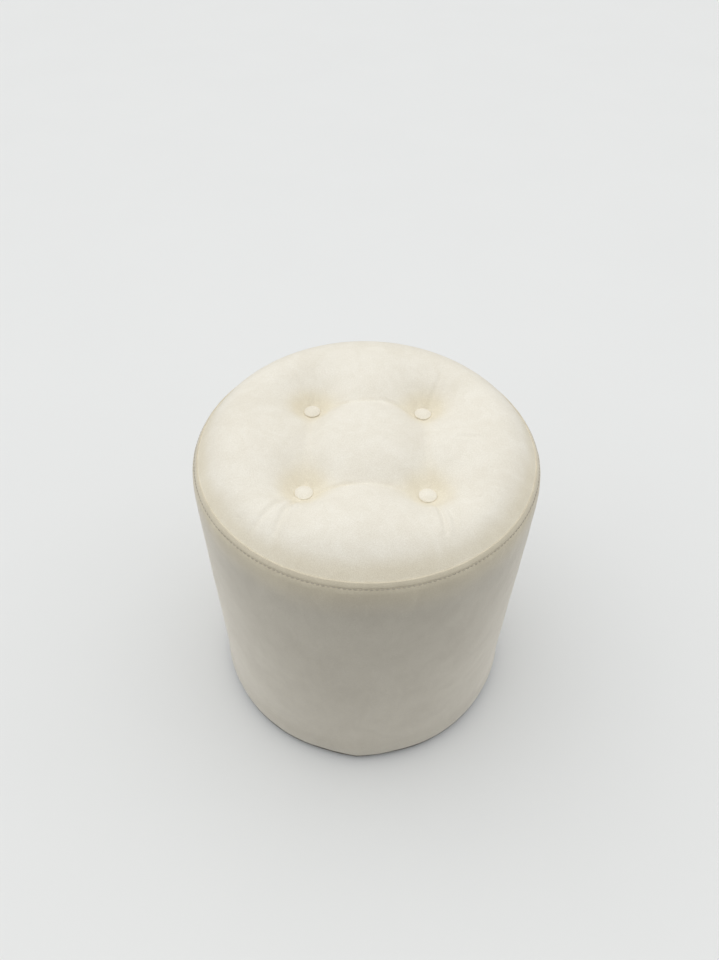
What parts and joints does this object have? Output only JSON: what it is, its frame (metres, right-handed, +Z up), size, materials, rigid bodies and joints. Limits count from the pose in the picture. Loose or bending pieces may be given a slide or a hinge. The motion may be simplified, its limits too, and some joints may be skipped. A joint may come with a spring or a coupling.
{
  "type": "tufted velvet pouf",
  "caption": "Low round upholstered pouf: cream velvet over a padded drum, button-tufted domed seat, topstitched rim seam, hem turned under onto low glides.",
  "frame": {"origin": "on the floor, under the middle of the pouf", "axes": "+Z up along the drum's axis, -Y towards the viewer of the picture, +X to the viewer's right"},
  "size_m": [0.38, 0.38, 0.4075],
  "materials": {
    "velvet": "matte",
    "foam": "matte",
    "plywood": "matte",
    "pine": "matte",
    "hardboard": "matte",
    "toggle_wood": "matte",
    "dust_cloth": "matte",
    "button_metal": "satin",
    "twine": "matte",
    "glide_plastic": "matte",
    "steel": "satin"
  },
  "bodies": {
    "root": {"base_ring": "plywood", "seat_board": "plywood", "upright_1": "pine", "upright_2": "pine", "upright_3": "pine", "upright_4": "pine", "upright_5": "pine", "upright_6": "pine", "wall_sheet": "hardboard", "side_foam": "foam", "seat_foam": "foam", "top_panel": "velvet", "side_band": "velvet", "dust_cover": "dust_cloth", "button_cover_front_left": "velvet", "button_shell_front_left": "button_metal", "button_back_front_left": "button_metal", "tuft_twine_front_left": "twine", "twine_toggle_front_left": "toggle_wood", "button_cover_front_right": "velvet", "button_shell_front_right": "button_metal", "button_back_front_right": "button_metal", "tuft_twine_front_right": "twine", "twine_toggle_front_right": "toggle_wood", "button_cover_back_left": "velvet", "button_shell_back_left": "button_metal", "button_back_back_left": "button_metal", "tuft_twine_back_left": "twine", "twine_toggle_back_left": "toggle_wood", "button_cover_back_right": "velvet", "button_shell_back_right": "button_metal", "button_back_back_right": "button_metal", "tuft_twine_back_right": "twine", "twine_toggle_back_right": "toggle_wood", "glide_1": "glide_plastic", "glide_2": "glide_plastic", "glide_3": "glide_plastic", "glide_4": "glide_plastic", "glide_nails": "steel", "seat_board_screws": "steel", "base_ring_screws": "steel", "hem_staples": "steel", "dust_cover_staples": "steel"}
  },
  "joints": []
}
